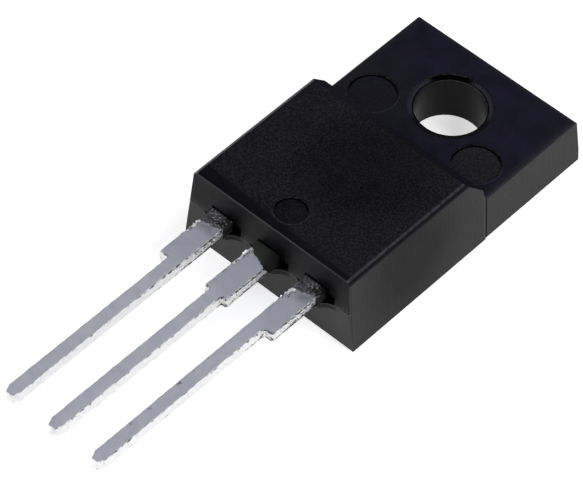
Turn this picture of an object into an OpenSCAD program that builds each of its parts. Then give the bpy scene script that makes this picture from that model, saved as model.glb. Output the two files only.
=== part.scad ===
// Power transistor in a fully moulded, isolated package with three flat leads.
// The part lies on its back: X runs across the leads, Y from the lead tips to the tab end,
// Z through the thickness. The origin is the centre of the screw hole on the back face.

/* [Moulding] */
// Width of the moulding at its back face, where the drafted sides are widest
mould_w = 10.16; // [9.8:0.02:10.6]
// Thickness of the body, from the back face to the top face
mould_h = 4.44; // [4.3:0.02:4.8]
// Height of the parting line across the front face
parting_h = 2.4; // [2.2:0.02:2.5]
// From the screw hole to the front face, at the parting line
front_reach = 12.37; // [12:0.01:13]
// Radius of the upright corners
corner_r = 0.26; // [0.1:0.02:0.4]
// Mould draft of the sides, in degrees
draft_side = 5.6; // [3:0.1:7]
// Mould draft of the front face above the parting line, in degrees
draft_upper = 1.7; // [0.5:0.1:4]
// Mould draft of the front face below the parting line, in degrees
draft_lower = 3.2; // [1:0.1:5]
// Width of the bevel along the sides of the top face
bevel_side = 0.22; // [0.1:0.02:0.3]
// Height of the bevel along the sides of the top face
bevel_h = 0.22; // [0.1:0.02:0.3]
// Width and height of the bevel along the front of the top face
bevel_front = 0.04; // [0.02:0.01:0.1]

/* [Tab] */
// Thickness of the tab
tab_t = 2.53; // [2.4:0.01:2.7]
// From the screw hole to the end of the tab, at the back face
tab_reach = 3.54; // [3.2:0.02:3.8]
// Step in from the body's sides to the tab's sides
tab_inset = 0.05; // [0.03:0.01:0.1]
// Mould draft of the tab's end, in degrees
draft_end = 5.6; // [1:0.1:7]
// From the screw hole to the foot of the step
step_foot = 3.2; // [3.1:0.05:3.6]
// Length and height of the chamfer at the top of the step
step_chamfer = 1.15; // [0.8:0.05:1.3]
// Lean of the steep wall under the chamfer, in degrees
step_lean = 14; // [5:1:20]
// Bevel round the top edge of the tab
tab_bevel = 0.08; // [0.04:0.01:0.12]
// Width of the seam in each side, where the body ends and the tab begins
seam_w = 0.07; // [0.04:0.01:0.12]
// Depth of the seam, from the tab's sides
seam_depth = 0.06; // [0.03:0.01:0.1]

/* [Screw hole and ejector marks] */
// Diameter of the screw hole
hole_d = 3.45; // [3:0.05:3.6]
// Diameter of the shallow recess round the screw hole
recess_d = 4.04; // [3.8:0.02:4.3]
// Depth of the recess round the screw hole
recess_depth = 0.1; // [0.05:0.01:0.2]
// Diameter of the two ejector marks on the tab
tab_mark_d = 2.4; // [2:0.05:2.6]
// From the middle of the tab to each ejector mark
tab_mark_x = 3.12; // [3:0.02:3.3]
// From the foot of the step to the middle of the tab's ejector marks
tab_mark_gap = 1.33; // [1.3:0.01:1.6]
// Diameter of the ejector mark on the body
body_mark_d = 1.6; // [1.2:0.05:2]
// From the front face to the middle of the body's ejector mark
body_mark_gap = 1.4; // [1.3:0.05:1.9]
// Depth of all ejector marks
mark_depth = 0.1; // [0.05:0.01:0.2]

/* [Leads] */
// Distance between neighbouring leads
pitch = 2.54; // [2.4:0.02:2.6]
// Thickness of the lead strip
lead_t = 0.6; // [0.45:0.01:0.7]
// Width of the slim part of a lead
lead_w = 0.7; // [0.6:0.02:0.85]
// From the front face to the lead tips
lead_len = 13.6; // [12:0.1:15]
// From the front face to the end of the wide shoulder
shoulder_len = 3.4; // [2.8:0.05:4]
// How far a shoulder stands out beside the slim part of an outer lead
shoulder_outer = 0.49; // [0.3:0.01:0.55]
// How far each shoulder stands out beside the slim part of the centre lead
shoulder_centre = 0.29; // [0.15:0.01:0.4]
// Radius at the root of each shoulder
shoulder_r = 0.14; // [0.05:0.01:0.2]
// Length of the tapered tip
tip_len = 0.42; // [0.2:0.02:0.8]
// Width of the flat end of the tip
tip_w = 0.36; // [0.2:0.02:0.5]

/* [Lead exits] */
// Depth of the pocket round each lead in the front face
pocket_depth = 0.26; // [0.1:0.02:0.3]
// Room in the pocket to the right of a lead
pocket_side = 0.54; // [0.2:0.02:0.6]
// Room in the pocket to the left of a lead
pocket_gap = 0.04; // [0.02:0.01:0.1]
// Room in the pocket above a lead
pocket_rise = 0.18; // [0.1:0.02:0.4]
// Length of the thin flash of moulding on top of a lead, along its left edge
flash_len = 0.95; // [0.6:0.05:1.2]
// Length of the flash along the lead's right edge and down its right side
flash_short = 0.62; // [0.4:0.02:0.9]
// Thickness of the flash
flash_t = 0.04; // [0.03:0.01:0.08]
// Bare rim of the lead to the left of the flash
flash_rim = 0.03; // [0.02:0.01:0.06]
// Reach of the hollow gussets from the front face, measured at the lead
gusset_reach = 0.4; // [0.2:0.02:0.5]
// Spread of the hollow gussets along the front face
gusset_spread = 0.66; // [0.3:0.02:0.66]
// Thickness of the gussets, down from the parting line
gusset_t = 0.3; // [0.15:0.05:0.6]

/* [Inner lead frame] */
// Moulding left under the die pad, which insulates the screw side
pad_base = 0.65; // [0.5:0.05:0.8]
// Thickness of the die pad
pad_t = 0.9; // [0.6:0.05:1]
// Width of the die pad
pad_w = 8.3; // [7:0.1:8.8]
// From the front face to the front edge of the die pad
pad_inset = 1.5; // [1.3:0.05:1.8]
// From the screw hole to the tab end of the die pad
pad_reach = 2.85; // [2.8:0.05:3]
// Clearance between the screw hole and the opening in the die pad
pad_hole_gap = 0.5; // [0.4:0.05:0.6]
// Length of the bonding posts inside the moulding
post_len = 2.2; // [1.6:0.05:2.3]
// Width of the bonding posts
post_w = 1.9; // [1.4:0.05:2]

/* [Die and bond wires] */
// Side of the silicon die along X
die_x = 4.2; // [3:0.1:4.6]
// Side of the silicon die along Y
die_y = 3.6; // [3:0.1:4]
// Thickness of the silicon die
die_t = 0.28; // [0.2:0.02:0.4]
// Thickness of the solder under the die
solder_t = 0.07; // [0.04:0.01:0.12]
// Border of solder round the die
solder_border = 0.15; // [0.05:0.05:0.3]
// From the front edge of the die pad to the front edge of the die
die_inset = 1.3; // [1:0.1:1.8]
// Diameter of the thin control wire
control_wire_d = 0.15; // [0.1:0.01:0.2]
// Diameter of the thick load wire
load_wire_d = 0.4; // [0.25:0.05:0.5]
// Rise of the bond wires over the line between their two ends
wire_rise = 0.7; // [0.4:0.05:0.8]

/* [Hidden] */
$fn = 64;

// Cutting bodies run past the faces that they cut by this much
over = 1;
// The outline that rounds the corners stands this far outside the flat faces
corner_clear = 0.02;

// Heights and half widths of the moulding
half_w = mould_w / 2;
bevel_z = mould_h - bevel_h;
front_top_z = mould_h - bevel_front;
tab_side_z = tab_t - tab_bevel;
upper_in = (front_top_z - parting_h) * tan(draft_upper);
lower_in = parting_h * tan(draft_lower);
end_in = tab_side_z * tan(draft_end);

// Half width of the moulding's drafted sides at height z
function side_at(z) = half_w - z * tan(draft_side);

// Places along the moulding
front_y = -front_reach;
step_y = -step_foot;
wall_h = mould_h - step_chamfer - tab_t;
wall_y = step_y - wall_h * tan(step_lean);

// Places along the leads and the lead frame
lead_z = parting_h;
lead_top = lead_z + lead_t;
tip_y = front_y - lead_len;
shoulder_y = front_y - shoulder_len;
half_lead = lead_w / 2;
centre_half = half_lead + shoulder_centre;
pad_top = pad_base + pad_t;
pad_y = front_y + pad_inset;
post_y = front_y + post_len;
pad_hole_d = hole_d + 2 * pad_hole_gap;

// Radius of the hollow side of a gusset, which runs out along the front face
gusset_r = (gusset_spread * gusset_spread + gusset_reach * gusset_reach) / (2 * gusset_reach);

// Places of the die and of the bond wires' ends
die_z = pad_top + solder_t;
die_top = die_z + die_t;
die_front = pad_y + die_inset;
die_mid_y = die_front + die_y / 2;
control_start = [-die_x / 4, die_front + die_y / 6, die_top];
control_end = [-pitch - post_w / 6, (front_y + 2 * post_y) / 3, lead_top];
load_start = [die_x / 5, die_mid_y, die_top];
load_end = [pitch + post_w / 8, (front_y + 2 * post_y) / 3, lead_top];
wire_sides = 8;
wire_steps = 12;

// Extrudes an outline drawn in X and Z from y0 to y1
module along_y(y0, y1) {
    translate([0, y1, 0]) rotate([90, 0, 0]) linear_extrude(y1 - y0) children();
}

// Extrudes an outline drawn in Y and Z over a width centred on x
module along_x(x, width) {
    translate([x - width / 2, 0, 0]) rotate([90, 0, 90]) linear_extrude(width) children();
}

// Upright block with two rounded corners, leaning in with the drafted side that it rounds
module leaning_block(side) {
    low = front_y - corner_clear;
    length = front_reach + tab_reach + 2 * corner_clear;
    width = mould_w + over;
    translate([side * (half_w + corner_clear), 0, 0]) rotate([0, -side * draft_side, 0])
        translate([0, 0, -over]) linear_extrude(mould_h + 2 * over)
            mirror([side > 0 ? 1 : 0, 0]) {
                translate([0, low + corner_r]) square([width, length - 2 * corner_r]);
                translate([corner_r, low]) square([width - corner_r, length]);
                for (y = [low + corner_r, low + length - corner_r])
                    translate([corner_r, y]) circle(corner_r);
            }
}

// Cross-section of the thick body
module body_section() {
    top = side_at(bevel_z);
    polygon([[-half_w, 0], [half_w, 0], [top, bevel_z], [top - bevel_side, mould_h],
             [bevel_side - top, mould_h], [-top, bevel_z]]);
}

// Side view of the thick body: parting line in front, chamfered step down to the tab behind
module body_profile() {
    polygon([[front_y + lower_in, 0], [step_y, 0], [step_y, tab_t],
             [wall_y, mould_h - step_chamfer], [wall_y - step_chamfer, mould_h],
             [front_y + upper_in + bevel_front, mould_h], [front_y + upper_in, front_top_z],
             [front_y, parting_h]]);
}

// Cross-section of the tab, with its sides stepped in from the body's sides
module tab_section(inset) {
    low = half_w - inset;
    top = side_at(tab_side_z) - inset;
    polygon([[-low, 0], [low, 0], [top, tab_side_z], [top - tab_bevel, tab_t],
             [tab_bevel - top, tab_t], [-top, tab_side_z]]);
}

// Side view of the tab, which starts inside the thick body
module tab_profile() {
    end = tab_reach - end_in;
    polygon([[step_y - over, 0], [tab_reach, 0], [end, tab_side_z], [end - tab_bevel, tab_t],
             [step_y - over, tab_t]]);
}

module moulded_block() {
    intersection() {
        leaning_block(-1);
        leaning_block(1);
        union() {
            intersection() {
                along_y(front_y - over, step_y + over) body_section();
                along_x(0, mould_w + 2 * over) body_profile();
            }
            intersection() {
                union() {
                    along_y(step_y - 2 * over, tab_reach + over)
                        tab_section(tab_inset + seam_depth);
                    along_y(step_y + seam_w, tab_reach + over) tab_section(tab_inset);
                }
                along_x(0, mould_w + 2 * over) tab_profile();
            }
        }
    }
}

// Distances that a lead reaches to its left and right at the front face
function reach_left(side) = side == 0 ? centre_half : half_lead + (side < 0 ? shoulder_outer : 0);
function reach_right(side) = side == 0 ? centre_half : half_lead + (side > 0 ? shoulder_outer : 0);

// Pocket that leaves room round a lead where it comes out of the upper half's front face
module exit_pocket(side) {
    left = side * pitch - reach_left(side) - pocket_gap;
    right = side * pitch + reach_right(side) + pocket_side;
    translate([left, front_y - over, parting_h])
        cube([right - left, pocket_depth + over, lead_t + pocket_rise]);
}

// Thin flash of moulding on the top and right side of a lead, rooted in the back of the pocket
module lead_flash(side) {
    left = side * pitch - reach_left(side) + flash_rim;
    right = side * pitch + reach_right(side) + flash_t;
    root = front_y + 2 * pocket_depth;
    translate([0, 0, lead_top]) linear_extrude(flash_t)
        polygon([[left, front_y - flash_len], [right, front_y - flash_short],
                 [right, root], [left, root]]);
    translate([right - flash_t, front_y - flash_short, lead_z])
        cube([flash_t, root - front_y + flash_short, lead_t + flash_t]);
}

// Shelf under a lead with a hollow-sided gusset on each side of it
module lead_shelf(side) {
    left = side * pitch - reach_left(side);
    right = side * pitch + reach_right(side);
    translate([0, front_y, parting_h - gusset_t]) linear_extrude(gusset_t) difference() {
        translate([left - gusset_spread, -gusset_reach])
            square([right - left + 2 * gusset_spread, gusset_reach + over / 2]);
        translate([left - gusset_spread, -gusset_r]) circle(gusset_r);
        translate([right + gusset_spread, -gusset_r]) circle(gusset_r);
    }
}

// Screw hole, the recess round it and the three ejector marks
module mould_cuts() {
    translate([0, 0, -over]) cylinder(d = hole_d, h = tab_t + 2 * over);
    translate([0, 0, tab_t - recess_depth]) cylinder(d = recess_d, h = over);
    for (side = [-1, 1])
        translate([side * tab_mark_x, step_y + tab_mark_gap, tab_t - mark_depth])
            cylinder(d = tab_mark_d, h = over);
    translate([0, front_y + body_mark_gap, mould_h - mark_depth])
        cylinder(d = body_mark_d, h = over);
}

module mould_body() {
    color([0.07, 0.07, 0.08]) difference() {
        union() {
            difference() {
                moulded_block();
                for (side = [-1, 0, 1]) exit_pocket(side);
            }
            for (side = [-1, 0, 1]) {
                lead_shelf(side);
                lead_flash(side);
            }
        }
        mould_cuts();
        centre_frame();
        outer_lead(-1);
        outer_lead(1);
        solder_layer();
        die_block();
        bond_wire(control_start, control_end, control_wire_d);
        bond_wire(load_start, load_end, load_wire_d);
    }
}

// Outline of the slim part of a lead, with its tapered tip
module slim_outline(inner_end) {
    polygon([[-half_lead, inner_end], [-half_lead, tip_y + tip_len], [-tip_w / 2, tip_y],
             [tip_w / 2, tip_y], [half_lead, tip_y + tip_len], [half_lead, inner_end]]);
}

// Outline of a shoulder on the side given, with the small radius at its root
module shoulder_outline(inner_end, width, away) {
    mirror([away < 0 ? 1 : 0, 0]) {
        translate([0, shoulder_y]) square([half_lead + width, inner_end - shoulder_y]);
        difference() {
            translate([0, shoulder_y - shoulder_r]) square([half_lead + shoulder_r, 2 * shoulder_r]);
            translate([half_lead + shoulder_r, shoulder_y - shoulder_r]) circle(shoulder_r);
        }
    }
}

// One outer lead with its bonding post inside the moulding
module outer_lead(side) {
    translate([side * pitch, 0, lead_z]) linear_extrude(lead_t) {
        slim_outline(post_y);
        shoulder_outline(post_y, shoulder_outer, side);
        translate([-post_w / 2, post_y - post_w / 2]) square([post_w, post_w / 2]);
    }
}

// Side view of the centre lead: straight outside, stepped down to the die pad inside
module centre_profile() {
    bend_y = front_y + (pad_inset - lead_t) / 2;
    polygon([[tip_y, lead_z], [bend_y, lead_z], [pad_y, pad_base],
             [pad_y + lead_t, pad_base], [pad_y + lead_t, pad_top],
             [bend_y + lead_t, lead_top], [tip_y, lead_top]]);
}

module centre_outline() {
    slim_outline(pad_y + lead_t);
    shoulder_outline(pad_y + lead_t, shoulder_centre, -1);
    shoulder_outline(pad_y + lead_t, shoulder_centre, 1);
}

// Centre lead and die pad, stamped and bent from one strip of copper
module centre_frame() {
    intersection() {
        linear_extrude(mould_h) centre_outline();
        along_x(0, mould_w) centre_profile();
    }
    translate([0, 0, pad_base]) linear_extrude(pad_t) difference() {
        translate([-pad_w / 2, pad_y]) square([pad_w, pad_reach - pad_y]);
        circle(d = pad_hole_d);
    }
}

module solder_layer() {
    translate([-die_x / 2 - solder_border, die_front - solder_border, pad_top])
        cube([die_x + 2 * solder_border, die_y + 2 * solder_border, solder_t]);
}

module die_block() {
    translate([-die_x / 2, die_front, die_z]) cube([die_x, die_y, die_t]);
}

// A point on a bond wire's arch: it leaves and reaches its ends upright
function wire_point(a, b, t) =
    a + (b - a) * (1 - cos(180 * t)) / 2 + [0, 0, wire_rise * sin(180 * t)];

function wire_tangent(a, b, t) =
    let (v = (b - a) * sin(180 * t) / 2 + [0, 0, wire_rise * cos(180 * t)]) v / norm(v);

// Round wire swept along its arch, from the top of the die to a bonding post
module bond_wire(a, b, d) {
    flat = [b[0] - a[0], b[1] - a[1], 0] / norm([b[0] - a[0], b[1] - a[1]]);
    side = cross([0, 0, 1], flat);
    points = [for (i = [0 : wire_steps], j = [0 : wire_sides - 1])
        let (t = i / wire_steps, turn = 360 * j / wire_sides)
        wire_point(a, b, t)
            + d / 2 * (cos(turn) * side + sin(turn) * cross(wire_tangent(a, b, t), side))];
    walls = [for (i = [0 : wire_steps - 1], j = [0 : wire_sides - 1])
        let (k = (j + 1) % wire_sides, low = i * wire_sides, high = low + wire_sides)
        each [[low + j, low + k, high + k], [low + j, high + k, high + j]]];
    first = [for (j = [0 : wire_sides - 1]) wire_sides - 1 - j];
    last = [for (j = [0 : wire_sides - 1]) wire_steps * wire_sides + j];
    polyhedron(points, concat(walls, [first, last]), convexity = 4);
}

module centre_lead_and_pad() {
    color([0.72, 0.72, 0.76]) centre_frame();
}

module left_lead() {
    color([0.72, 0.72, 0.76]) outer_lead(-1);
}

module right_lead() {
    color([0.72, 0.72, 0.76]) outer_lead(1);
}

module silicon_die() {
    color([0.35, 0.37, 0.42]) die_block();
}

module die_solder() {
    color([0.6, 0.6, 0.6]) solder_layer();
}

module control_wire() {
    color([0.85, 0.85, 0.87]) bond_wire(control_start, control_end, control_wire_d);
}

module load_wire() {
    color([0.85, 0.85, 0.87]) bond_wire(load_start, load_end, load_wire_d);
}

mould_body();
centre_lead_and_pad();
left_lead();
right_lead();
silicon_die();
die_solder();
control_wire();
load_wire();
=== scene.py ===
"""Power transistor in a fully moulded package: looks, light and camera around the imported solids."""
import math
from types import SimpleNamespace

import bmesh
import bpy
from mathutils import Matrix, Vector, noise


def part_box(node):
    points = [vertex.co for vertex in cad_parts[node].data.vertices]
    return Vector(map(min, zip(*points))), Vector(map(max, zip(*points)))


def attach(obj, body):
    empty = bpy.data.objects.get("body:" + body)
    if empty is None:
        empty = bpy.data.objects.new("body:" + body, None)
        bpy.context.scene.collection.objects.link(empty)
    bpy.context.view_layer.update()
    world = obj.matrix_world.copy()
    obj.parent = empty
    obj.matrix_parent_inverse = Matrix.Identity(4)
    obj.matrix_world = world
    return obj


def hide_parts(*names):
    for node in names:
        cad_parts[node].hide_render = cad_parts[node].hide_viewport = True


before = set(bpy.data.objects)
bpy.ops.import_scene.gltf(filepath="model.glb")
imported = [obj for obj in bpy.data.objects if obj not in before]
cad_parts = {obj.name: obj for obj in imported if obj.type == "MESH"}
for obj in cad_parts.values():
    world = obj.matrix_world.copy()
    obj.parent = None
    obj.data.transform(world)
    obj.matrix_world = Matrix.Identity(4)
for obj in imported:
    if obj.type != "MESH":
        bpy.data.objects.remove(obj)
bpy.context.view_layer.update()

MM = 0.001


def box_mm(node):
    low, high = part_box(node)
    return Vector(low) / MM, Vector(high) / MM


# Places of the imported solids, in millimetres
MOULD_HIGH = box_mm("mould_body")[1]
LEAD_LOW, LEAD_HIGH = box_mm("left_lead")
LEAD_BOTTOM = LEAD_LOW.z
LEAD_TOP = LEAD_HIGH.z
TIP_Y = LEAD_LOW.y
END_Y = MOULD_HIGH.y
TOP_Z = MOULD_HIGH.z
FRONT_Y = -12.37
STEP_Y = -3.2
TAB_TOP = 2.53
HOLE_RADIUS = 1.725
RECESS_RADIUS = 2.02

# Ejector marks on the tab and on the body: x, y and radius
MARKS = ((-3.12, STEP_Y + 1.33, 1.2), (3.12, STEP_Y + 1.33, 1.2), (0.0, FRONT_Y + 1.4, 0.8))

# The outer side walls lie farther from the middle than this, and all else lies nearer
SIDE_X = 4.5

# The long sides lean inwards up to a small bevel along the top
BEVEL = 0.22
SIDE_DRAFT = math.radians(5.6)
BEVEL_X = MOULD_HIGH.x - (TOP_Z - BEVEL) * math.tan(SIDE_DRAFT) - BEVEL
TAB_HALF = MOULD_HIGH.x - TAB_TOP * math.tan(SIDE_DRAFT)

# Leads: half widths of the tip, the slim part and the shoulders, and where the shoulders end
PITCH = 2.54
TIP_HALF = 0.18
SLIM = 0.35
OUTER_SHOULDER = 0.84
CENTRE_SHOULDER = 0.64
SHOULDER_Y = FRONT_Y - 3.4

# Left and right edges of the three leads where they leave the moulding
LEAD_LEFTS = (-PITCH - OUTER_SHOULDER, -CENTRE_SHOULDER, PITCH - SLIM)
LEAD_RIGHTS = (-PITCH + SLIM, CENTRE_SHOULDER, PITCH + OUTER_SHOULDER)

# Direction in plan towards the camera. Painted highlights go on the side of the marks' rims that faces it,
# and painted shadow on the opposite side. The painted light and shade on the recess floor follow it too
WORN = (0.64, -0.77)

# Middles of the darker part of the top, of the tab's dusty corner, and of the dull
# part of the long sides, which has y and z
HANDLED = (0.8, -7.0)
DUSTY = (-3.8, -2.3)
DULL = (-8.3, 2.9)

# How far torn metal moves on the leads' sides, how far burrs stand out and up, and the turned rim
TEAR = 0.030
TEAR_MORE = 0.022
TEAR_IN = 0.008
BURR_OUT = 0.14
BURR_UP = 0.18
BURR_REACH = 1.5
RIM_WIDTH = 0.045
RIM_IN = 0.012
RIM_DOWN = 0.014

# Front edge of the film on the leads: spacing of its points, coarse and fine raggedness, and on the
# centre lead its slant and how far forward it reaches
FILM_STEP = 0.11
FILM_COARSE = 0.16
FILM_FINE = 0.10
FILM_SLANT = 0.62
FILM_FORWARD = 0.32


# Helpers that make shader nodes
class Graph:
    """Short names for making shader nodes. What a method makes comes back as its output socket."""

    def __init__(self, name):
        self.material = bpy.data.materials.new(name)
        self.material.use_nodes = True
        self.tree = self.material.node_tree
        self.tree.nodes.clear()
        self.output = self.tree.nodes.new("ShaderNodeOutputMaterial")

    def node(self, kind, **settings):
        made = self.tree.nodes.new(kind)
        for key, value in settings.items():
            setattr(made, key, value)
        return made

    def put(self, socket, value):
        """Links another socket to this one, or gives it a plain value."""
        if isinstance(value, bpy.types.NodeSocket):
            self.tree.links.new(value, socket)
        else:
            socket.default_value = value

    def parts(self, vector):
        """The vector's x, y and z."""
        made = self.node("ShaderNodeSeparateXYZ")
        self.put(made.inputs[0], vector)
        return made.outputs[0], made.outputs[1], made.outputs[2]

    def place(self):
        """Position in the shared frame, in millimetres, as one vector and as x, y and z."""
        scaled = self.node("ShaderNodeVectorMath", operation="SCALE")
        self.put(scaled.inputs[0], self.node("ShaderNodeTexCoord").outputs["Object"])
        self.put(scaled.inputs["Scale"], 1 / MM)
        return (scaled.outputs[0],) + self.parts(scaled.outputs[0])

    def normal(self, kind="Normal"):
        """Parts of the surface's normal."""
        return self.parts(self.node("ShaderNodeNewGeometry").outputs[kind])

    def maths(self, operation, a, b=0.0):
        made = self.node("ShaderNodeMath", operation=operation)
        self.put(made.inputs[0], a)
        self.put(made.inputs[1], b)
        return made.outputs[0]

    def fold(self, operation, first, others):
        """Joins any number of values by one operation."""
        for other in others:
            first = self.maths(operation, first, other)
        return first

    def times(self, first, *others):
        return self.fold("MULTIPLY", first, others)

    def add(self, first, *others):
        return self.fold("ADD", first, others)

    def largest(self, first, *others):
        return self.fold("MAXIMUM", first, others)

    def minus(self, a, b):
        return self.maths("SUBTRACT", a, b)

    def size(self, value):
        """The value without its sign."""
        return self.maths("ABSOLUTE", value)

    def distance(self, x, y, cx, cy):
        """How far the point x, y is from the point cx, cy."""
        dx = self.minus(x, cx)
        dy = self.minus(y, cy)
        return self.maths("SQRT", self.add(self.times(dx, dx), self.times(dy, dy)))

    def stretch(self, vector, factors):
        """The vector with each of its parts times its own factor."""
        made = self.node("ShaderNodeVectorMath", operation="MULTIPLY")
        self.put(made.inputs[0], vector)
        self.put(made.inputs[1], factors)
        return made.outputs[0]

    def noise(self, vector, scale, detail=2.0, roughness=0.5):
        made = self.node("ShaderNodeTexNoise")
        self.put(made.inputs["Vector"], vector)
        self.put(made.inputs["Scale"], scale)
        self.put(made.inputs["Detail"], detail)
        self.put(made.inputs["Roughness"], roughness)
        return made.outputs["Fac"]

    def cells(self, vector, scale):
        made = self.node("ShaderNodeTexVoronoi")
        self.put(made.inputs["Vector"], vector)
        self.put(made.inputs["Scale"], scale)
        return made.outputs["Distance"]

    def ramp(self, value, low, high, to_low=0.0, to_high=1.0):
        """Runs smoothly from to_low at low to to_high at high, and stays level beyond both."""
        made = self.node("ShaderNodeMapRange", interpolation_type="SMOOTHSTEP")
        self.put(made.inputs["Value"], value)
        ends = {"From Min": low, "From Max": high, "To Min": to_low, "To Max": to_high}
        for name, number in ends.items():
            self.put(made.inputs[name], number)
        return made.outputs["Result"]

    def within(self, value, low, low_full, high_full, high):
        """Is 1 from low_full to high_full, and falls to 0 at low and at high."""
        return self.times(self.ramp(value, low, low_full), self.ramp(value, high, high_full))

    def mix(self, factor, a, b):
        """Number between a and b. A mix node's inputs 2 and 3 take numbers, and 6 and 7 take colours."""
        made = self.node("ShaderNodeMix", data_type="FLOAT")
        self.put(made.inputs[0], factor)
        self.put(made.inputs[2], a)
        self.put(made.inputs[3], b)
        return made.outputs[0]

    def tint(self, factor, a, b):
        """Colour between a and b."""
        made = self.node("ShaderNodeMix", data_type="RGBA")
        self.put(made.inputs[0], factor)
        self.put(made.inputs[6], a)
        self.put(made.inputs[7], b)
        return made.outputs[2]

    def blend(self, value, low, high, a, b):
        """Colour a where value is below low, colour b where it is above high."""
        return self.tint(self.ramp(value, low, high), a, b)

    def bump(self, height, strength, distance):
        made = self.node("ShaderNodeBump")
        self.put(made.inputs["Strength"], strength)
        self.put(made.inputs["Distance"], distance)
        self.put(made.inputs["Height"], height)
        return made.outputs[0]

    def surface(self, **inputs):
        self.shader = self.node("ShaderNodeBsdfPrincipled")
        for name, value in inputs.items():
            self.put(self.shader.inputs[name.replace("_", " ")], value)
        self.put(self.output.inputs["Surface"], self.shader.outputs[0])
        return self.material


def rgb(red, green, blue):
    return (red, green, blue, 1.0)


# Colours of the moulding. A pair is blended by a texture or a place
MOULD = SimpleNamespace(
    plain=(rgb(0.0018, 0.0018, 0.0034), rgb(0.0032, 0.0030, 0.0046)),
    eroded=rgb(0.0150, 0.0144, 0.0190),
    # Painted bluish sheen in the tab's colours
    tab=(rgb(0.0046, 0.0044, 0.0122), rgb(0.0086, 0.0081, 0.0190)),
    tab_grain=rgb(0.0120, 0.0118, 0.0200),
    # Painted highlight along the tab's rims
    tab_rubbed=rgb(0.0150, 0.0146, 0.0200),
    tab_dust=rgb(0.0092, 0.0094, 0.0122),
    mark_dark=(rgb(0.0052, 0.0051, 0.0100), rgb(0.0076, 0.0073, 0.0112)),
    mark_light=(rgb(0.0125, 0.0120, 0.0180), rgb(0.0240, 0.0230, 0.0280)),
    # Painted highlight on the marks' rims and painted shadow inside them
    mark_rim=rgb(0.030, 0.030, 0.042),
    mark_arc=rgb(0.0010, 0.0009, 0.0020),
    # Painted light and shade on the recess floor, and its painted shadow line
    recess=(rgb(0.0220, 0.0220, 0.0360), rgb(0.0022, 0.0022, 0.0036)),
    recess_line=rgb(0.0008, 0.0008, 0.0008),
    slope=(rgb(0.0072, 0.0070, 0.0125), rgb(0.0220, 0.0216, 0.0270)),
    # Painted shade and a painted highlight on the long bevels
    bevel=(rgb(0.0170, 0.0168, 0.0185), rgb(0.0062, 0.0058, 0.0080)),
    bevel_edge=(rgb(0.024, 0.024, 0.030), rgb(0.044, 0.044, 0.054)),
    side=rgb(0.0060, 0.0060, 0.0058),
    front_warm=rgb(0.0180, 0.0165, 0.0145),
    front_upper=rgb(0.0034, 0.0034, 0.0042),
    film_centre=rgb(0.034, 0.037, 0.032),
    film=(rgb(0.012, 0.012, 0.012), rgb(0.095, 0.095, 0.100)),
    film_bare=(rgb(0.26, 0.26, 0.29), rgb(0.72, 0.72, 0.77)),
    # Painted shade along the seam
    seam=rgb(0.0010, 0.0010, 0.0012),
    wall=(rgb(0.0040, 0.0040, 0.0046), rgb(0.0420, 0.0405, 0.0430)),
    # Painted shadow of the leads on the front face
    soot=rgb(0.0016, 0.0016, 0.0018),
    shelf=rgb(0.0036, 0.0036, 0.0038),
    # Painted highlight along the parting line
    parting=rgb(0.0600, 0.0600, 0.0610),
)

# Colours of the tin plating: flat faces, then cut faces, then marks on both
TIN_TOP = (rgb(0.53, 0.545, 0.64), rgb(0.63, 0.635, 0.715))
TIN_STREAK = rgb(0.72, 0.73, 0.81)
TIN_SHOULDER = rgb(0.42, 0.44, 0.52)
TIN_RIM = rgb(0.24, 0.245, 0.28)
TIN_STAIN = rgb(0.20, 0.20, 0.21)
# Painted shadow round the glints, and painted glints on the burrs
TIN_OUTLINE = rgb(0.09, 0.09, 0.10)
TIN_BURR = rgb(0.88, 0.88, 0.92)
TIN_BURR_PIT = rgb(0.05, 0.05, 0.05)
TIN_CUT = (rgb(0.66, 0.66, 0.66), rgb(0.86, 0.86, 0.86))
TIN_CRUMPLED = rgb(0.55, 0.55, 0.56)
TIN_SPECK = rgb(0.035, 0.035, 0.035)


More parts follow.
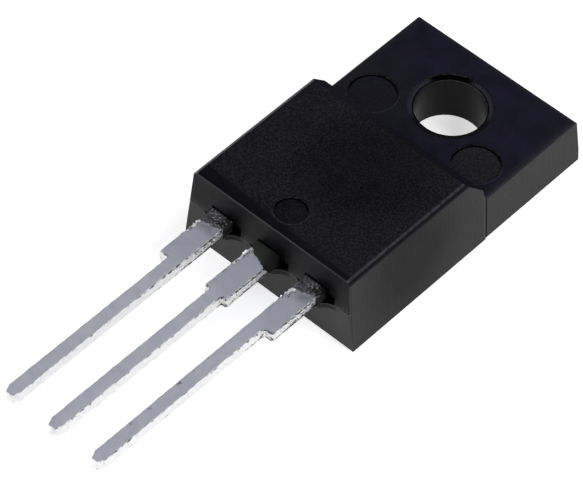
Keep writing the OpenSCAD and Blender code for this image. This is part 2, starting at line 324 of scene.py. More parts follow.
# The moulding's material
def mould_regions(g):
    """Masks of the moulding's regions. Each is 1 in its region and 0 elsewhere."""
    place, x, y, z = g.place()
    nx, ny, nz = g.normal()
    at = SimpleNamespace(place=place, x=x, y=y, z=z, aside=g.size(x), from_hole=g.distance(x, y, 0.0, 0.0))
    at.up = g.ramp(nz, 0.8, 0.95)
    at.side = g.ramp(g.size(nz), 0.6, 0.3)
    on_body = g.ramp(z, TAB_TOP + 0.5, TAB_TOP + 0.8)

    # The eroded texture of the body's top face stops short of its front edge, a little aslant
    edge = g.add(y, g.times(x, 0.05))
    at.eroded = g.times(at.up, on_body, g.ramp(edge, FRONT_Y + 0.5, FRONT_Y + 0.7))
    at.handled = g.ramp(g.distance(x, y, *HANDLED), 4.2, 1.5)
    at.body_mark = g.ramp(g.distance(x, y, *MARKS[2][:2]), 0.82, 0.78)
    at.tab = g.times(g.ramp(nz, 0.4, 0.7), g.minus(1.0, on_body), g.ramp(y, STEP_Y - 0.9, STEP_Y - 0.8))
    at.slope = g.times(g.ramp(ny, 0.15, 0.4), g.ramp(z, TAB_TOP + 0.02, TAB_TOP + 0.1))
    at.bevel = g.times(g.ramp(at.aside, BEVEL_X - 0.03, BEVEL_X - 0.01),
                       g.ramp(z, TOP_Z - 0.24, TOP_Z - 0.21))

    # Floors of the recess round the hole and of the marks on the tab
    sunk = g.times(at.up, g.within(z, TAB_TOP - 0.2, TAB_TOP - 0.15, TAB_TOP - 0.06, TAB_TOP - 0.04))
    at.ring = g.times(sunk, g.ramp(at.from_hole, RECESS_RADIUS + 0.08, RECESS_RADIUS + 0.03))
    at.disc = g.times(sunk, g.ramp(at.from_hole, RECESS_RADIUS + 0.08, RECESS_RADIUS + 0.13))
    at.ring_worn = worn_way(g, at, 0.0, 0.0)
    # A painted shadow line runs along the hole and along the far side of the recess floor
    hole_line = g.ramp(at.from_hole, HOLE_RADIUS + 0.075, HOLE_RADIUS + 0.035)
    at.ring_dark = g.times(at.ring, g.largest(g.ramp(at.ring_worn, -0.78, -0.92), hole_line))
    at.bore = g.times(at.side, g.ramp(at.from_hole, HOLE_RADIUS + 0.075, HOLE_RADIUS + 0.025))
    at.rims, at.arcs = mark_edges(g, at)

    # Front face, its parting line, and the film and the gussets outside it
    at.front = g.times(g.ramp(ny, -0.6, -0.9), at.side)
    at.front_upper = g.times(at.front, g.ramp(z, LEAD_BOTTOM - 0.02, LEAD_BOTTOM + 0.02))
    at.front_rim = g.times(g.ramp(y, FRONT_Y + 0.3, FRONT_Y + 0.25), g.ramp(z, TOP_Z - 0.12, TOP_Z - 0.08))
    at.parting = g.times(g.ramp(ny, -0.3, -0.6), g.within(z, LEAD_BOTTOM - 0.045, LEAD_BOTTOM - 0.03,
                                                          LEAD_BOTTOM, LEAD_BOTTOM + 0.01))
    outside = g.ramp(y, FRONT_Y + 0.02, FRONT_Y - 0.02)
    at.film = g.times(outside, g.ramp(z, LEAD_TOP - 0.01, LEAD_TOP))
    at.collar = g.times(outside, g.ramp(z, LEAD_BOTTOM + 0.01, LEAD_BOTTOM + 0.05))
    at.outer = g.ramp(at.aside, 0.9, 1.1)
    at.shelf = g.times(at.up, g.ramp(g.size(g.minus(z, LEAD_BOTTOM)), 0.03, 0.01))
    at.gusset = g.times(at.side, outside, g.within(z, LEAD_BOTTOM - 0.4, LEAD_BOTTOM - 0.35,
                                                   LEAD_BOTTOM - 0.07, LEAD_BOTTOM - 0.05))

    # Walls of the marks, the recess and the pockets at the lead exits
    inner = g.times(g.ramp(at.aside, SIDE_X, SIDE_X - 0.1),
                    g.within(y, FRONT_Y + 0.3, FRONT_Y + 0.4, END_Y - 0.54, END_Y - 0.44))
    wall = g.times(at.side, inner, g.ramp(at.from_hole, HOLE_RADIUS + 0.075, HOLE_RADIUS + 0.125))
    pocket = g.times(at.side, g.ramp(at.aside, SIDE_X - 0.1, SIDE_X - 0.2),
                     g.within(y, FRONT_Y + 0.10, FRONT_Y + 0.16, FRONT_Y + 0.28, FRONT_Y + 0.32))
    at.wall = g.largest(wall, pocket)

    # Sides: the seam where the body ends, the strip beside it, the corners and the body's long side
    on_side = g.times(at.side, g.ramp(at.aside, SIDE_X - 0.05, SIDE_X))
    at.seam = g.times(on_side, g.within(y, STEP_Y - 0.02, STEP_Y, STEP_Y + 0.13, STEP_Y + 0.17))
    at.seam_edge = g.times(on_side, g.within(y, STEP_Y - 0.13, STEP_Y - 0.1, STEP_Y - 0.04, STEP_Y - 0.02))
    turn_x = g.size(nx)
    at.corner = g.times(at.side, g.ramp(at.aside, SIDE_X, SIDE_X + 0.1),
                        g.ramp(turn_x, 0.2, 0.6), g.ramp(g.size(ny), 0.2, 0.6))
    at.body_side = g.times(at.side, g.ramp(turn_x, 0.6, 0.8), g.ramp(y, STEP_Y + 0.05, STEP_Y))
    return at


def worn_way(g, at, cx, cy):
    """Is 1 from the centre towards the camera, and -1 away from it."""
    along = g.add(g.times(g.minus(at.x, cx), WORN[0]), g.times(g.minus(at.y, cy), WORN[1]))
    return g.maths("DIVIDE", along, g.distance(at.x, at.y, cx, cy))


def mark_edges(g, at):
    """The ejector marks' rims get a painted highlight on the side towards the camera, and painted shadow
    fills the inside of the rim on the other side.
    """
    rims = 0.0
    arcs = 0.0
    for cx, cy, radius in MARKS:
        away = g.distance(at.x, at.y, cx, cy)
        way = worn_way(g, at, cx, cy)
        rim = g.within(away, radius - 0.01, radius, radius + 0.03, radius + 0.09)
        rims = g.largest(rims, g.times(rim, g.ramp(way, -0.2, 0.5)))
        arc = g.within(away, radius - 0.13, radius - 0.08, radius, radius + 0.02)
        arcs = g.largest(arcs, g.times(arc, g.ramp(way, 0.0, -0.45)))
    return g.times(rims, at.up), g.times(arcs, at.up)


def mould_textures(g, place):
    return SimpleNamespace(
        fine=g.noise(place, 9.5, 3.0, 0.75),
        pits=g.cells(place, 7.0),
        patches=g.noise(place, 1.1, 3.0, 0.6),
        broad=g.noise(place, 0.45, 2.0, 0.5),
        streaks=g.noise(g.stretch(place, (3.0, 3.0, 0.2)), 1.6, 3.0, 0.6),
        speckle=g.noise(place, 9.0, 2.0, 0.6),
    )


def soot_mask(g, at):
    """Painted shadow that spreads over the front face from the right of each lead, where the leads block
    the light from the floor.
    """
    soot = 0.0
    for right in LEAD_RIGHTS:
        across = g.times(g.minus(at.x, right + 0.22), 1.1)
        upward = g.minus(at.z, LEAD_TOP - 0.05)
        soot = g.largest(soot, g.ramp(g.distance(across, upward, 0.0, 0.0), 1.05, 0.25))
    return g.times(soot, g.ramp(at.y, FRONT_Y + 0.5, FRONT_Y + 0.4),
                   g.ramp(at.z, LEAD_BOTTOM, LEAD_BOTTOM + 0.03))


def bare_specks(g, at, texture):
    """The film on the outer leads thins out towards its front and left, and bares the metal there."""
    on_right = g.ramp(at.x, -0.1, 0.1)
    from_right = g.mix(on_right, g.minus(LEAD_RIGHTS[0], at.x), g.minus(LEAD_RIGHTS[2], at.x))
    thin = g.add(g.ramp(at.y, FRONT_Y - 0.3, FRONT_Y - 0.9, -0.05, 0.26),
                 g.ramp(from_right, 0.2, 1.1, -0.05, 0.26))
    return g.times(at.film, at.outer, g.ramp(g.add(texture.speckle, thin), 0.49, 0.6))


def top_colour(g, at, texture):
    """Colours of the faces that look up: body, tab, marks and recess."""
    fine = texture.fine
    patches = texture.patches
    base = g.blend(texture.broad, 0.35, 0.65, *MOULD.plain)
    grain = g.ramp(g.add(fine, g.times(patches, 0.12)), 0.50, 0.66)
    # The middle of the top is darker, and so is the floor of its mark
    darker = g.times(g.mix(at.handled, 1.0, 0.6), g.mix(at.body_mark, 1.0, 0.55))
    base = g.tint(g.times(at.eroded, grain, darker), base, MOULD.eroded)

    # The tab's colours carry a painted bluish sheen
    tab = g.blend(patches, 0.3, 0.7, *MOULD.tab)
    tab = g.tint(g.ramp(fine, 0.55, 0.7, 0.0, 0.5), tab, MOULD.tab_grain)
    # A highlight is painted along the tab's rims, broken up by grain
    at_rim = g.largest(g.ramp(at.aside, TAB_HALF - 0.53, TAB_HALF - 0.13),
                       g.ramp(at.y, END_Y - 0.64, END_Y - 0.34))
    tab = g.tint(g.times(at_rim, g.ramp(fine, 0.35, 0.6, 0.5, 1.0)), tab, MOULD.tab_rubbed)
    dusty = g.ramp(g.distance(at.x, at.y, *DUSTY), 3.4, 0.8)
    tab = g.tint(g.times(dusty, g.ramp(patches, 0.25, 0.65, 0.5, 1.0)), tab, MOULD.tab_dust)
    base = g.tint(at.tab, base, tab)

    mark_dark = g.blend(at.x, -0.5, 0.5, *MOULD.mark_dark)
    mark_light = g.blend(at.x, -0.5, 0.5, *MOULD.mark_light)
    base = g.tint(at.disc, base, g.blend(fine, 0.45, 0.65, mark_dark, mark_light))
    # Painted light and shade on the recess floor, set by the way towards the camera, then its painted
    # shadow line
    base = g.tint(at.ring, base, g.blend(at.ring_worn, 0.1, 0.5, *MOULD.recess))
    base = g.tint(at.ring_dark, base, MOULD.recess_line)
    # Painted highlights on the marks' rims and painted shadow inside them, on opposite sides
    base = g.tint(g.times(at.rims, g.ramp(fine, 0.45, 0.6, 0.35, 1.0)), base, MOULD.mark_rim)
    return g.tint(at.arcs, base, MOULD.mark_arc)


def mould_colour(g, at, texture, soot, specks):
    fine = texture.fine
    streaks = texture.streaks
    base = top_colour(g, at, texture)
    powder = g.times(g.ramp(fine, 0.4, 0.6), g.ramp(at.x, 0.5, -3.0, 0.4, 1.0))
    base = g.tint(at.slope, base, g.tint(powder, *MOULD.slope))
    # The long bevels get a painted highlight along their upper edge and painted shade below it
    bevel = g.blend(at.z, TOP_Z - 0.23, TOP_Z - 0.13, *MOULD.bevel)
    bevel_edge = g.blend(streaks, 0.35, 0.6, *MOULD.bevel_edge)
    base = g.tint(at.bevel, base, g.blend(at.z, TOP_Z - 0.11, TOP_Z - 0.055, bevel, bevel_edge))
    base = g.tint(g.times(at.side, g.ramp(streaks, 0.25, 0.75, 0.5, 0.9)), base, MOULD.side)
    base = g.tint(g.times(at.front, g.ramp(at.x, 3.0, 4.5)), base, MOULD.front_warm)
    base = g.tint(at.front_upper, base, MOULD.front_upper)
    film = g.tint(at.outer, MOULD.film_centre, g.blend(fine, 0.4, 0.6, *MOULD.film))
    base = g.tint(g.largest(at.film, at.collar), base, film)
    # Painted shade along the seam
    base = g.tint(at.seam, base, MOULD.seam)
    base = g.tint(at.wall, base, g.blend(texture.speckle, 0.40, 0.62, *MOULD.wall))
    # Painted shadow of the leads, kept off the walls
    base = g.tint(g.times(soot, g.minus(1.0, at.wall)), base, MOULD.soot)
    # Under the leads the gussets' flat tops are dull, and a highlight is painted along the parting line
    base = g.tint(at.shelf, base, MOULD.shelf)
    base = g.tint(g.times(at.parting, g.ramp(streaks, 0.3, 0.6, 0.35, 1.0)), base, MOULD.parting)
    return g.tint(specks, base, g.blend(fine, 0.4, 0.6, *MOULD.film_bare))


def mould_shine(g, at, texture, soot):
    """Specular level: low where the surface is eroded or under the painted shadow, high along some edges
    and corners.
    """
    top = g.times(g.mix(at.handled, 0.12, 0.06), g.mix(at.body_mark, 1.0, 0.6))
    shine = g.mix(at.eroded, g.mix(at.side, 0.22, g.mix(at.bore, 0.15, 0.10)), top)
    dull = g.times(g.ramp(g.distance(at.y, at.z, *DULL), 4.6, 1.2),
                   g.ramp(texture.broad, 0.3, 0.7, 0.85, 1.0))
    shine = g.mix(at.body_side, shine, g.mix(dull, 0.13, 0.048))
    shine = g.mix(at.corner, shine, 0.32)
    shine = g.mix(at.bevel, shine, g.ramp(at.z, TOP_Z - 0.23, TOP_Z - 0.10, 0.10, 0.02))
    for mask, level in ((at.seam, 0.02), (at.seam_edge, 0.22), (at.front_upper, 0.10), (at.slope, 0.0),
                        (at.front_rim, 0.16), (soot, 0.02), (at.wall, 0.09), (at.gusset, 0.09),
                        (at.shelf, 0.03), (g.largest(at.ring_dark, at.arcs), 0.0)):
        shine = g.mix(mask, shine, level)
    return shine


def epoxy_material():
    g = Graph("epoxy_moulding_look")
    at = mould_regions(g)
    texture = mould_textures(g, at.place)
    specks = bare_specks(g, at, texture)
    # Painted shadow of the leads on the front face, broken up into patches
    soot = g.times(soot_mask(g, at), g.ramp(texture.patches, 0.3, 0.7, 0.60, 0.90))
    base = mould_colour(g, at, texture, soot, specks)
    shine = mould_shine(g, at, texture, soot)
    rough = g.mix(at.front_upper, g.mix(at.eroded, g.mix(at.side, 0.38, 0.36), 0.66), 0.5)
    rough = g.add(rough, g.ramp(texture.fine, 0.3, 0.7, -0.05, 0.05))
    grain = g.times(g.add(texture.fine, g.times(texture.pits, 0.6)), g.mix(at.eroded, 0.16, 1.0))
    height = g.add(grain, g.times(texture.streaks, at.side, 0.25), g.times(specks, 1.2))
    material = g.surface(Base_Color=base, Metallic=specks, Roughness=rough, Specular_IOR_Level=shine,
                         Normal=g.bump(height, 0.6, 0.035 * MM))
    # Plain level for programs that can't follow the links
    g.shader.inputs["Specular IOR Level"].default_value = 0.12
    return material


# The leads' material
def tin_specks(g, at, pitted):
    """Black specks on the cut faces, most of them high up, near the moulding and where shoulders end."""
    shoulder_end = g.ramp(g.size(g.minus(at.y, SHOULDER_Y - 0.1)), 0.22, 0.05)
    at_end = g.times(shoulder_end, g.ramp(at.x, -1.0, -0.5, 0.0, 0.09))
    upper = g.add(g.ramp(at.z, LEAD_TOP - 0.2, LEAD_TOP - 0.05, -0.12, 0.07), g.times(at.near_body, 0.6))
    lower = g.add(g.ramp(at.z, LEAD_BOTTOM + 0.22, LEAD_BOTTOM + 0.06, -0.12, 0.02), at.near_body)
    return g.ramp(g.add(pitted, g.largest(upper, lower), at_end), 0.62, 0.67)


def tin_splashes(g, at):
    """Level of the pattern along the left edges near the exits, on top only, that places painted glints
    with painted shadow round them.
    """
    near_left = PITCH
    for left in LEAD_LEFTS:
        near_left = g.maths("MINIMUM", near_left, g.size(g.minus(at.x, left)))
    return g.add(g.noise(at.place, 3.6, 3.0, 0.7),
                 g.ramp(near_left, 0.06, 0.60, 0.11, -0.30),
                 g.ramp(at.y, FRONT_Y - 2.4, FRONT_Y - 0.9, -0.20, 0.03),
                 g.ramp(at.nz, 0.0, -0.5, 0.0, -0.5))


def tin_flat_colour(g, at, flat, mottle, grain, pitted):
    """Colour of the flat faces, with their rims, stains and burrs."""
    top = g.blend(mottle, 0.3, 0.7, *TIN_TOP)
    top = g.tint(g.ramp(grain, 0.35, 0.65, 0.0, 0.35), top, TIN_STREAK)
    # The shoulders are a little duller than the slim leads
    top = g.tint(g.ramp(at.y, FRONT_Y - 4.4, FRONT_Y - 2.4, 0.0, 0.6), top, TIN_SHOULDER)
    # A dull line follows the turned-down rim. Near the moulding the rim is burred instead
    turned_down = g.ramp(g.size(g.normal("True Normal")[2]), 0.992, 0.98)
    near_exit = g.ramp(at.y, FRONT_Y - 2.6, FRONT_Y - 2.1)
    rim = g.times(flat, turned_down, g.minus(1.0, near_exit))
    top = g.tint(g.times(rim, g.ramp(pitted, 0.35, 0.6, 0.3, 1.0)), top, TIN_RIM)
    burred = g.times(near_exit, turned_down)
    # The outer leads are darker, mottled, just in front of the moulding's film
    stain = g.times(g.ramp(at.y, FRONT_Y - 1.6, FRONT_Y - 0.95, 0.0, 0.75),
                    g.ramp(mottle, 0.35, 0.65, 0.4, 1.0),
                    g.ramp(g.size(at.x), 0.9, 1.1))
    top = g.tint(stain, top, TIN_STAIN)
    splash = tin_splashes(g, at)
    # Painted shadow round each glint
    top = g.tint(g.ramp(splash, 0.51, 0.53), top, TIN_OUTLINE)
    # Painted glints on the burrs near the exits
    at_exit = g.ramp(at.y, FRONT_Y - 1.5, FRONT_Y - 0.2, -0.25, 0.10)
    burrs = g.largest(g.ramp(g.add(g.noise(at.place, 4.5, 3.0, 0.7), at_exit), 0.56, 0.64),
                      g.times(burred, g.ramp(pitted, 0.30, 0.45)), g.ramp(splash, 0.575, 0.595))
    top = g.tint(burrs, top, TIN_BURR)
    return g.tint(g.times(burred, g.ramp(pitted, 0.44, 0.38)), top, TIN_BURR_PIT)


def tin_material():
    g = Graph("tinned_lead_look")
    place, x, y, z = g.place()
    at = SimpleNamespace(place=place, x=x, y=y, z=z, nz=g.normal()[2])
    at.near_body = g.ramp(y, FRONT_Y - 6.0, FRONT_Y - 1.2, 0.0, 0.20)
    flat = g.ramp(g.size(at.nz), 0.55, 0.9)
    mottle = g.noise(place, 1.3, 4.0, 0.6)
    grain = g.noise(g.stretch(place, (6.0, 1.2, 6.0)), 4.0, 3.0, 0.6)
    fine = g.noise(place, 16.0, 2.0, 0.6)
    shear = g.noise(g.stretch(place, (1.0, 5.0, 1.2)), 3.2, 4.0, 0.65)
    pitted = g.noise(g.stretch(place, (1.0, 0.7, 1.2)), 5.5, 3.0, 0.75)

    cut = g.blend(shear, 0.3, 0.6, *TIN_CUT)
    cut = g.tint(g.times(g.ramp(at.near_body, 0.08, 0.18), g.ramp(pitted, 0.50, 0.40)), cut, TIN_CRUMPLED)
    cut = g.tint(tin_specks(g, at, pitted), cut, TIN_SPECK)
    base = g.tint(flat, cut, tin_flat_colour(g, at, flat, mottle, grain, pitted))
    rough = g.mix(flat, g.ramp(shear, 0.3, 0.7, 0.28, 0.5), g.ramp(fine, 0.3, 0.7, 0.45, 0.58))
    height = g.mix(flat, shear, g.times(g.add(grain, fine), 0.3))
    bump = g.bump(height, 0.6, 0.02 * MM)
    return g.surface(Base_Color=base, Metallic=0.55, Roughness=rough, Normal=bump)


def inner_material(name, colour, metallic, roughness):
    """Look of a piece that the moulding hides."""
    g = Graph(name)
    fine = g.noise(g.place()[0], 5.0, 3.0, 0.6)
    lighter = rgb(*(min(1.0, 1.25 * channel) for channel in colour))
    base = g.blend(fine, 0.3, 0.7, rgb(*colour), lighter)
    rough = g.ramp(fine, 0.3, 0.7, roughness - 0.06, roughness + 0.06)
    bump = g.bump(fine, 0.3, 0.01 * MM)
    return g.surface(Base_Color=base, Metallic=metallic, Roughness=rough, Normal=bump)


EPOXY = epoxy_material()
TIN = tin_material()
SILICON = inner_material("silicon_look", (0.12, 0.13, 0.16), 0.6, 0.3)
SOLDER = inner_material("solder_look", (0.35, 0.35, 0.36), 1.0, 0.4)
WIRE = inner_material("bond_wire_look", (0.75, 0.75, 0.77), 1.0, 0.3)


# Pieces
def dress(piece, material):
    piece.data.materials.clear()
    piece.data.materials.append(material)


def copy_of_node(node):
    """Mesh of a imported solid, in millimetres, with its flat faces in one piece."""
    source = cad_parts[node].data
    bm = bmesh.new()
    points = [bm.verts.new(v.co / MM) for v in source.vertices]
    for polygon in source.polygons:
        bm.faces.new([points[i] for i in polygon.vertices])
    bmesh.ops.remove_doubles(bm, verts=bm.verts, dist=1e-4)
    bmesh.ops.dissolve_limit(bm, angle_limit=math.radians(0.4), verts=bm.verts, edges=bm.edges)
    return bm


def piece_from(bm, name, node, material, sharp):
    """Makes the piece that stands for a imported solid. Edges bent by more than sharp stay sharp."""
    bmesh.ops.triangulate(bm, faces=[f for f in bm.faces if len(f.verts) > 4])
    bm.transform(Matrix.Scale(MM, 4))
    mesh = bpy.data.meshes.new(name)
    bm.to_mesh(mesh)
    bm.free()
    # Marking the sharp edges shades every face smooth, so the faces' own shading is put back
    smooth = [polygon.use_smooth for polygon in mesh.polygons]
    mesh.set_sharp_from_angle(angle=sharp)
    mesh.polygons.foreach_set("use_smooth", smooth)
    piece = bpy.data.objects.new(name, mesh)
    bpy.context.scene.collection.objects.link(piece)
    dress(piece, material)
    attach(piece, "root")
    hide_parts(node)


def edge_angle(edge):
    return edge.calc_face_angle(0.0) if len(edge.link_faces) == 2 else 0.0


def smooth_curves(bm):
    """Shades rounded edges and the facets of round features smooth, and the flat faces flat."""
    bm.normal_update()
    for face in bm.faces:
        bends = [math.degrees(edge_angle(e)) for e in face.edges]
        area = face.calc_area()
        narrow = 2 * area < 0.09 * face.calc_perimeter()
        face.smooth = narrow or (area < 1.0 and any(1.0 < bend < 15.0 for bend in bends))


def round_edges(bm, wanted, width, segments):
    """Rounds the sharp edges between two points for which wanted is true."""
    chosen = [e for e in bm.edges if edge_angle(e) > math.radians(20)
              and (e.verts[0].co - e.verts[1].co).length > 0.02
              and wanted(e.verts[0].co) and wanted(e.verts[1].co)]
    bmesh.ops.bevel(bm, geom=chosen, offset=width, offset_type="OFFSET", segments=segments,
                    profile=0.5, affect="EDGES", clamp_overlap=True)


def cut_across(bm, places, normal, wanted):
    """Cuts the faces for which wanted is true by planes, so that their edges can be moved."""
    for place in places:
        faces = [f for f in bm.faces if all(wanted(v.co) for v in f.verts)]
        # Both keep their order, so that every run cuts alike
        edges = dict.fromkeys(e for f in faces for e in f.edges)
        verts = dict.fromkeys(v for f in faces for v in f.verts)
        bmesh.ops.bisect_plane(bm, geom=faces + list(edges) + list(verts), plane_co=Vector(normal) * place,
                               plane_no=normal)


def on_outer_edge(p):
    """Whether a point lies on the moulding's outer edges, away from the exits, seam, hole and marks."""
    inside = (abs(p.x) < SIDE_X - 0.1 and FRONT_Y + 0.6 < p.y < STEP_Y - 0.5
              and 0.3 < p.z < TOP_Z - 0.05)
    hole = math.hypot(p.x, p.y) < 3.0
    exits = (p.y < FRONT_Y + 0.6 and LEAD_BOTTOM - 0.5 < p.z < LEAD_TOP + 0.6
             and abs(p.x) < SIDE_X - 0.2)
    seam = abs(p.y - STEP_Y - 0.04) < 0.06 and p.z < TAB_TOP + 0.02
    marks = p.z > 0.5 and any(math.hypot(p.x - cx, p.y - cy) < radius + 0.1 for cx, cy, radius in MARKS)
    return not (inside or hole or exits or seam or marks)


def on_film(p):
    """Whether a point lies on the film of moulding that covers the leads at their exits."""
    return p.y < FRONT_Y + 0.6 and abs(p.z - LEAD_TOP - 0.02) < 0.03


def make_moulding():
    bm = copy_of_node("mould_body")
    round_edges(bm, on_outer_edge, 0.05, 3)
    smooth_curves(bm)

    # Ragged front edge of the film on the leads, which runs aslant on the centre lead
    cut_across(bm, [FILM_STEP * i + 0.03 for i in range(-32, 33)], (1, 0, 0), on_film)
    for v in bm.verts:
        if on_film(v.co) and v.co.y < FRONT_Y - 0.5:
            seed = Vector((v.co.x * 2.6, 3.0, 1.0))
            v.co.y += FILM_COARSE * noise.noise(seed) + FILM_FINE * noise.noise(seed * 2.7)
            if abs(v.co.x) < 0.9:
                v.co.y += FILM_SLANT * (CENTRE_SHOULDER - v.co.x) - FILM_FORWARD
    piece_from(bm, "moulding", "mould_body", EPOXY, math.radians(50))


def outside(p):
    """Whether a point of a lead lies in front of the moulding or only just inside it."""
    return p.y < FRONT_Y + 0.3


def round_shoulder(bm, x):
    """Solder has rounded the right corner of the shoulder."""
    corners = [e for e in bm.edges if abs(e.verts[0].co.z - e.verts[1].co.z) > 0.3 and edge_angle(e) > 0.5
               and all(abs(v.co.x - x) < 0.12 and abs(v.co.y - SHOULDER_Y) < 0.25 for v in e.verts)]
    bmesh.ops.bevel(bm, geom=corners, offset=0.14, offset_type="OFFSET", segments=4,
                    profile=0.5, affect="EDGES")


def outline_of(bm):
    """Lowest and highest x of the lead at each y outside the moulding."""
    outline = {}
    for v in bm.verts:
        if v.co.y < FRONT_Y + 0.05:
            key = round(v.co.y, 3)
            low, high = outline.get(key, (v.co.x, v.co.x))
            outline[key] = (min(low, v.co.x), max(high, v.co.x))
    return outline


def tear_edge(point, away, middle, burrs_from):
    """Moves a point of a lead's side, which faces away (-1 or 1), as torn metal lies."""
    level = (point.z - LEAD_BOTTOM) / (LEAD_TOP - LEAD_BOTTOM)
    seed = Vector((middle * 3.1 + away * 7.7, point.y * 4.5, point.z * 2.2))
    near_body = max(0.0, 1 - (FRONT_Y - point.y) / 6)
    rough = 0.6 * noise.noise(seed) + (0.6 + 0.6 * near_body) * noise.noise(seed * 2.7)
    torn = 0.35 + 0.65 * max(0.0, 1 - abs(level - 0.75) / 0.5)
    point.x += away * ((TEAR + TEAR_MORE * near_body) * rough * torn - TEAR_IN * (1 + near_body))
    # Burrs stand up where the film of moulding was torn off
    if level > 0.6 and point.y < burrs_from:
        fading = max(0.0, 1 - (burrs_from - point.y) / BURR_REACH)
        burr = fading * max(0.0, noise.noise(seed * 1.9) + 0.1)
        point.x += away * BURR_OUT * burr
        point.z += BURR_UP * burr
    # The top rim is turned down, and the bottom edge is a little rounded
    if level > 0.99 and point.y > TIP_Y + 0.4:
        point.x -= away * RIM_IN
        point.z -= RIM_DOWN * (1 + noise.noise(seed * 1.7))
    elif level < 0.01:
        point.z += RIM_IN


def make_lead(node, name, middle, left, right):
    """Lead with the torn, uneven edges that stamping leaves. Left and right are its shoulders' reaches."""
    bm = copy_of_node(node)
    if right > SLIM:
        round_shoulder(bm, middle + right)
    spacing = 0.065
    count = int((FRONT_Y + 0.1 - TIP_Y) / spacing)
    cut_across(bm, [TIP_Y + 0.05 + spacing * i for i in range(count)], (0, 1, 0),
               lambda p: p.y < FRONT_Y + 9)
    cut_across(bm, [LEAD_BOTTOM + h for h in (0.12, 0.3, 0.46, 0.55)], (0, 0, 1), outside)
    # A narrow rim runs along each side, at the tip, the slim part and the shoulders
    reaches = ((-1, TIP_HALF), (1, TIP_HALF), (-1, SLIM), (1, SLIM), (-1, left), (1, right))
    rims = {round(middle + side * (reach - RIM_WIDTH), 4) for side, reach in reaches}
    cut_across(bm, sorted(rims), (1, 0, 0), outside)

    outline = outline_of(bm)
    for v in bm.verts:
        key = round(v.co.y, 3)
        if v.co.y > FRONT_Y + 0.05 or key not in outline or v.co.y < TIP_Y + 0.01:
            continue
        low, high = outline[key]
        # The film ends sooner at the left of the centre lead
        if abs(v.co.x - low) < 1e-3:
            tear_edge(v.co, -1, middle, FRONT_Y - (0.5 if middle == 0 else 1.0))
        elif abs(v.co.x - high) < 1e-3:
            tear_edge(v.co, 1, middle, FRONT_Y - 1.0)
    bm.normal_update()
    for face in bm.faces:
        face.smooth = abs(face.normal.z) < 0.985
    piece_from(bm, name, node, TIN, math.radians(40))


make_moulding()
make_lead("left_lead", "lead_left", -PITCH, OUTER_SHOULDER, SLIM)
make_lead("centre_lead_and_pad", "lead_centre", 0.0, CENTRE_SHOULDER, CENTRE_SHOULDER)
make_lead("right_lead", "lead_right", PITCH, SLIM, OUTER_SHOULDER)
for inner_node, inner_look in (("silicon_die", SILICON), ("die_solder", SOLDER),
                               ("control_wire", WIRE), ("load_wire", WIRE)):
    dress(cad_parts[inner_node], inner_look)


# Floor, world, lamps and camera
def floor_material():
    """White floor with soft shadows. It glows a little, but only in what the camera sees of it."""
    g = Graph("floor_look")
    cloud = g.noise(g.stretch(g.place()[0], (0.004, 0.004, 0.004)), 3.0, 2.0)
    plain = g.node("ShaderNodeBsdfDiffuse")
    g.put(plain.inputs["Color"], g.blend(cloud, 0.3, 0.7, rgb(0.80, 0.80, 0.80), rgb(0.83, 0.83, 0.83)))
    white = g.node("ShaderNodeEmission")
    white.inputs["Color"].default_value = rgb(1, 1, 1)
    white.inputs["Strength"].default_value = 0.6
    both = g.node("ShaderNodeAddShader")
    g.put(both.inputs[0], plain.outputs[0])
    g.put(both.inputs[1], white.outputs[0])
    rays = g.node("ShaderNodeLightPath").outputs
    seen = g.largest(rays["Is Camera Ray"], rays["Is Glossy Ray"], rays["Is Transmission Ray"])
    choice = g.node("ShaderNodeMixShader")
    g.put(choice.inputs[0], seen)
    g.put(choice.inputs[1], plain.outputs[0])
    g.put(choice.inputs[2], both.outputs[0])
    g.put(g.output.inputs["Surface"], choice.outputs[0])
    return g.material


def make_floor():
    half = 1.2
    low = -0.02 * MM
    mesh = bpy.data.meshes.new("floor")
    mesh.from_pydata([(-half, -half, low), (half, -half, low), (half, half, low), (-half, half, low)],
                     [], [(0, 1, 2, 3)])
    floor = bpy.data.objects.new("floor", mesh)
    bpy.context.scene.collection.objects.link(floor)
    dress(floor, floor_material())


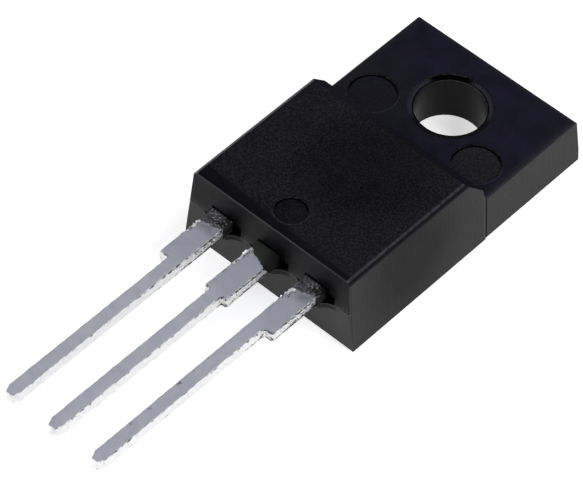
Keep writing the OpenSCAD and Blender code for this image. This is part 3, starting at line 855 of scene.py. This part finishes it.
def make_world():
    """Light that is bright at the horizon and dim above. The camera sees plain white instead."""
    world = bpy.data.worlds.new("studio")
    bpy.context.scene.world = world
    world.use_nodes = True
    nodes = world.node_tree.nodes
    links = world.node_tree.links
    nodes.clear()
    out = nodes.new("ShaderNodeOutputWorld")
    background = nodes.new("ShaderNodeBackground")
    coordinates = nodes.new("ShaderNodeTexCoord")
    parts = nodes.new("ShaderNodeSeparateXYZ")
    ramp = nodes.new("ShaderNodeValToRGB")
    links.new(coordinates.outputs["Generated"], parts.inputs[0])
    links.new(parts.outputs["Z"], ramp.inputs[0])
    horizon, zenith = ramp.color_ramp.elements
    horizon.position = 0.04
    horizon.color = rgb(0.90, 0.90, 0.90)
    zenith.position = 0.30
    zenith.color = rgb(0.10, 0.10, 0.115)
    rays = nodes.new("ShaderNodeLightPath")
    choice = nodes.new("ShaderNodeMix")
    choice.data_type = "RGBA"
    links.new(rays.outputs["Is Camera Ray"], choice.inputs[0])
    links.new(ramp.outputs[0], choice.inputs[6])
    choice.inputs[7].default_value = rgb(1, 1, 1)
    links.new(choice.outputs[2], background.inputs["Color"])
    links.new(background.outputs[0], out.inputs["Surface"])


def towards(azimuth, elevation):
    """Unit vector from the part. Azimuth 0 is in front of the leads, 90 on the +X side."""
    return Vector((math.sin(azimuth) * math.cos(elevation), -math.cos(azimuth) * math.cos(elevation),
                   math.sin(elevation)))


def make_lamp(name, azimuth, elevation, size, power):
    """Round area lamp aimed at the part, from half a metre away."""
    away = towards(math.radians(azimuth), math.radians(elevation))
    data = bpy.data.lights.new(name, "AREA")
    data.shape = "DISK"
    data.size = size
    data.energy = power
    lamp = bpy.data.objects.new(name, data)
    lamp.location = Vector((0, -8 * MM, 2 * MM)) + away * 0.5
    lamp.rotation_euler = away.to_track_quat("Z", "Y").to_euler()
    bpy.context.scene.collection.objects.link(lamp)


def make_camera():
    """Camera solved from the photograph's corners and edges, for a 583 by 479 picture."""
    width_px, focal_px = 583.0, 3760.585
    azimuth, elevation, roll = (math.radians(v) for v in (39.685, 50.003, 3.382))
    distance = 167.298 * MM
    target = Vector((-0.164, -10.628, 2.0)) * MM
    back = towards(azimuth, elevation)
    level = Vector((math.cos(azimuth), math.sin(azimuth), 0))
    steep = back.cross(level)
    right = level * math.cos(roll) + steep * math.sin(roll)
    up = steep * math.cos(roll) - level * math.sin(roll)
    data = bpy.data.cameras.new("camera")
    data.sensor_fit = "HORIZONTAL"
    data.sensor_width = 36.0
    data.lens = focal_px / width_px * data.sensor_width
    data.clip_start = 0.01
    data.clip_end = 10.0
    camera = bpy.data.objects.new("camera", data)
    turn = Matrix((right, up, back)).transposed()
    camera.matrix_world = Matrix.Translation(target + back * distance) @ turn.to_4x4()
    bpy.context.scene.collection.objects.link(camera)
    bpy.context.scene.camera = camera


make_floor()
make_world()
make_lamp("key", 95, 40, 0.30, 1.3)
make_lamp("fill", -32, 34, 0.25, 1.2)
make_lamp("rim", 152, 57, 0.14, 0.5)
make_camera()
bpy.context.scene.view_settings.view_transform = "Standard"
